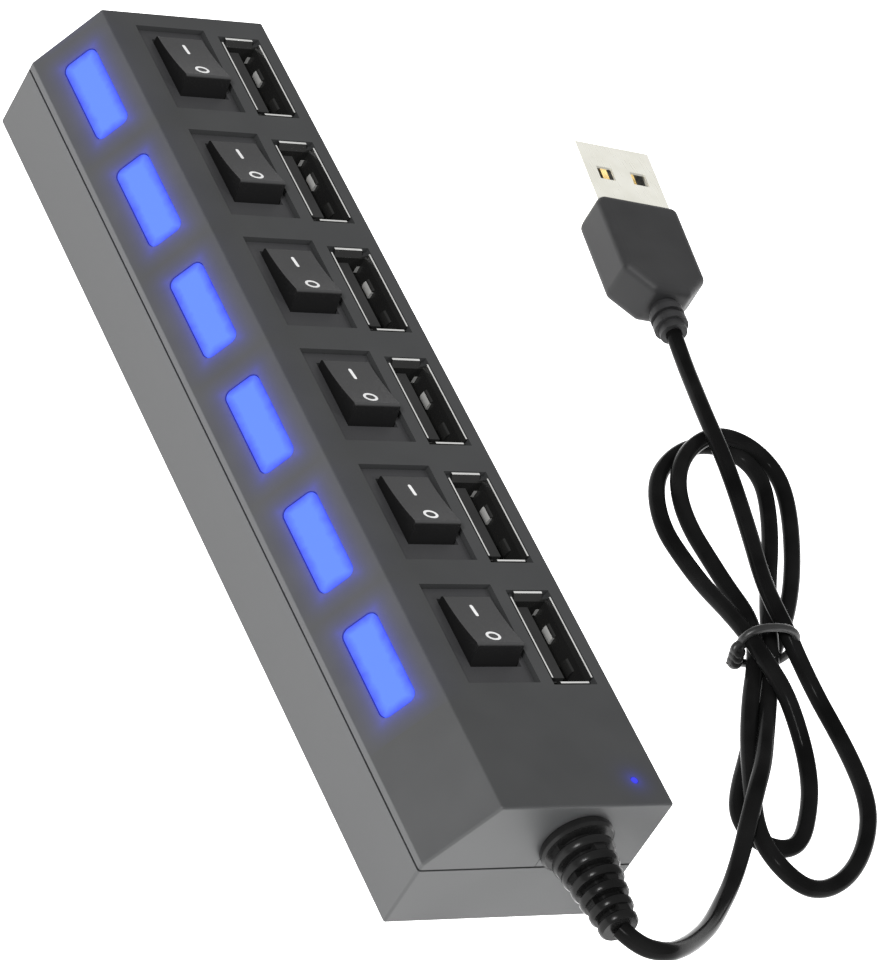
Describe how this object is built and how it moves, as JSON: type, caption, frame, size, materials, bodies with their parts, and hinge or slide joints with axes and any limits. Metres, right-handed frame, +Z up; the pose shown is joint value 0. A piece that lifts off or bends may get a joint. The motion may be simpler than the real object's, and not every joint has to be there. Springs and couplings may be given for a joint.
{
  "type": "usb hub",
  "caption": "Long charcoal desktop hub with a row of upright USB sockets, a rocker switch and a lit window beside each, and a tied cord ending in a plug.",
  "frame": {"origin": "middle of the case underside", "axes": "+Z up, +Y along the case away from the cord, -X the chamfered side"},
  "size_m": [0.1006, 0.152, 0.0222],
  "materials": {
    "case_plastic": "satin charcoal",
    "switch_plastic": "satin charcoal",
    "rocker_plastic": "satin charcoal",
    "plunger_white": "smooth",
    "steel": "plated",
    "socket_steel": "bright tin plate",
    "plug_steel": "nickel plate",
    "insulator_black": "moulded",
    "contact_gold": "gold plate",
    "terminal_brass": "stamped",
    "board_green": "solder mask",
    "chip_black": "moulded epoxy",
    "can_aluminium": "bright",
    "led_white": "smooth",
    "blue_light": "glowing translucent",
    "wire_red": "smooth",
    "black_rubber": "moulded",
    "cord_black": "glossy vinyl",
    "tie_black": "coated wire",
    "plug_rubber": "satin moulded"
  },
  "bodies": {
    "hub": {"top_cover": "case_plastic", "bottom_cover": "case_plastic", "case_screws": "steel", "main_board": "board_green", "hub_chips": "chip_black", "capacitors": "can_aluminium", "crystal": "steel", "status_leds": "led_white", "light_guide": "blue_light", "power_led_lens": "blue_light", "usb_contacts": "contact_gold", "switch_terminals": "terminal_brass", "wire_leads": "wire_red", "strain_relief": "black_rubber", "cord_lead": "cord_black", "cord_hank": "cord_black", "cord_tail": "cord_black", "cord_tie": "tie_black", "plug_overmould": "plug_rubber", "plug_shell": "plug_steel", "plug_tongue": "insulator_black", "plug_contacts": "contact_gold", "usb_shell_1": "socket_steel", "usb_tongue_1": "insulator_black", "switch_housing_1": "switch_plastic", "usb_shell_2": "socket_steel", "usb_tongue_2": "insulator_black", "switch_housing_2": "switch_plastic", "usb_shell_3": "socket_steel", "usb_tongue_3": "insulator_black", "switch_housing_3": "switch_plastic", "usb_shell_4": "socket_steel", "usb_tongue_4": "insulator_black", "switch_housing_4": "switch_plastic", "usb_shell_5": "socket_steel", "usb_tongue_5": "insulator_black", "switch_housing_5": "switch_plastic", "usb_shell_6": "socket_steel", "usb_tongue_6": "insulator_black", "switch_housing_6": "switch_plastic"},
    "rocker_body_1": {"rocker_1": "rocker_plastic", "rocker_plunger_1": "plunger_white"},
    "lever_body_1": {"switch_lever_1": "terminal_brass"},
    "rocker_body_2": {"rocker_2": "rocker_plastic", "rocker_plunger_2": "plunger_white"},
    "lever_body_2": {"switch_lever_2": "terminal_brass"},
    "rocker_body_3": {"rocker_3": "rocker_plastic", "rocker_plunger_3": "plunger_white"},
    "lever_body_3": {"switch_lever_3": "terminal_brass"},
    "rocker_body_4": {"rocker_4": "rocker_plastic", "rocker_plunger_4": "plunger_white"},
    "lever_body_4": {"switch_lever_4": "terminal_brass"},
    "rocker_body_5": {"rocker_5": "rocker_plastic", "rocker_plunger_5": "plunger_white"},
    "lever_body_5": {"switch_lever_5": "terminal_brass"},
    "rocker_body_6": {"rocker_6": "rocker_plastic", "rocker_plunger_6": "plunger_white"},
    "lever_body_6": {"switch_lever_6": "terminal_brass"}
  },
  "joints": [
    {"name": "rocker_tilt_1", "type": "hinge", "parent": "hub", "child": "rocker_body_1", "pos_m": [0.00045, -0.03935, 0.0185], "axis": [1, 0, 0], "range_deg": [0, 21]},
    {"name": "lever_tilt_1", "type": "hinge", "parent": "hub", "child": "lever_body_1", "pos_m": [0.00045, -0.03935, 0.0134], "axis": [1, 0, 0], "range_deg": [-12.1, 0]},
    {"name": "rocker_tilt_2", "type": "hinge", "parent": "hub", "child": "rocker_body_2", "pos_m": [0.00045, -0.02015, 0.0185], "axis": [1, 0, 0], "range_deg": [0, 21]},
    {"name": "lever_tilt_2", "type": "hinge", "parent": "hub", "child": "lever_body_2", "pos_m": [0.00045, -0.02015, 0.0134], "axis": [1, 0, 0], "range_deg": [-12.1, 0]},
    {"name": "rocker_tilt_3", "type": "hinge", "parent": "hub", "child": "rocker_body_3", "pos_m": [0.00045, -0.00095, 0.0185], "axis": [1, 0, 0], "range_deg": [0, 21]},
    {"name": "lever_tilt_3", "type": "hinge", "parent": "hub", "child": "lever_body_3", "pos_m": [0.00045, -0.00095, 0.0134], "axis": [1, 0, 0], "range_deg": [-12.1, 0]},
    {"name": "rocker_tilt_4", "type": "hinge", "parent": "hub", "child": "rocker_body_4", "pos_m": [0.00045, 0.01825, 0.0185], "axis": [1, 0, 0], "range_deg": [0, 21]},
    {"name": "lever_tilt_4", "type": "hinge", "parent": "hub", "child": "lever_body_4", "pos_m": [0.00045, 0.01825, 0.0134], "axis": [1, 0, 0], "range_deg": [-12.1, 0]},
    {"name": "rocker_tilt_5", "type": "hinge", "parent": "hub", "child": "rocker_body_5", "pos_m": [0.00045, 0.03745, 0.0185], "axis": [1, 0, 0], "range_deg": [0, 21]},
    {"name": "lever_tilt_5", "type": "hinge", "parent": "hub", "child": "lever_body_5", "pos_m": [0.00045, 0.03745, 0.0134], "axis": [1, 0, 0], "range_deg": [-12.1, 0]},
    {"name": "rocker_tilt_6", "type": "hinge", "parent": "hub", "child": "rocker_body_6", "pos_m": [0.00045, 0.05665, 0.0185], "axis": [1, 0, 0], "range_deg": [0, 21]},
    {"name": "lever_tilt_6", "type": "hinge", "parent": "hub", "child": "lever_body_6", "pos_m": [0.00045, 0.05665, 0.0134], "axis": [1, 0, 0], "range_deg": [-12.1, 0]}
  ],
  "couplings": [
    {"joint": "lever_tilt_1", "follows": "rocker_tilt_1", "ratio": -0.57143},
    {"joint": "lever_tilt_2", "follows": "rocker_tilt_2", "ratio": -0.57143},
    {"joint": "lever_tilt_3", "follows": "rocker_tilt_3", "ratio": -0.57143},
    {"joint": "lever_tilt_4", "follows": "rocker_tilt_4", "ratio": -0.57143},
    {"joint": "lever_tilt_5", "follows": "rocker_tilt_5", "ratio": -0.57143},
    {"joint": "lever_tilt_6", "follows": "rocker_tilt_6", "ratio": -0.57143}
  ]
}
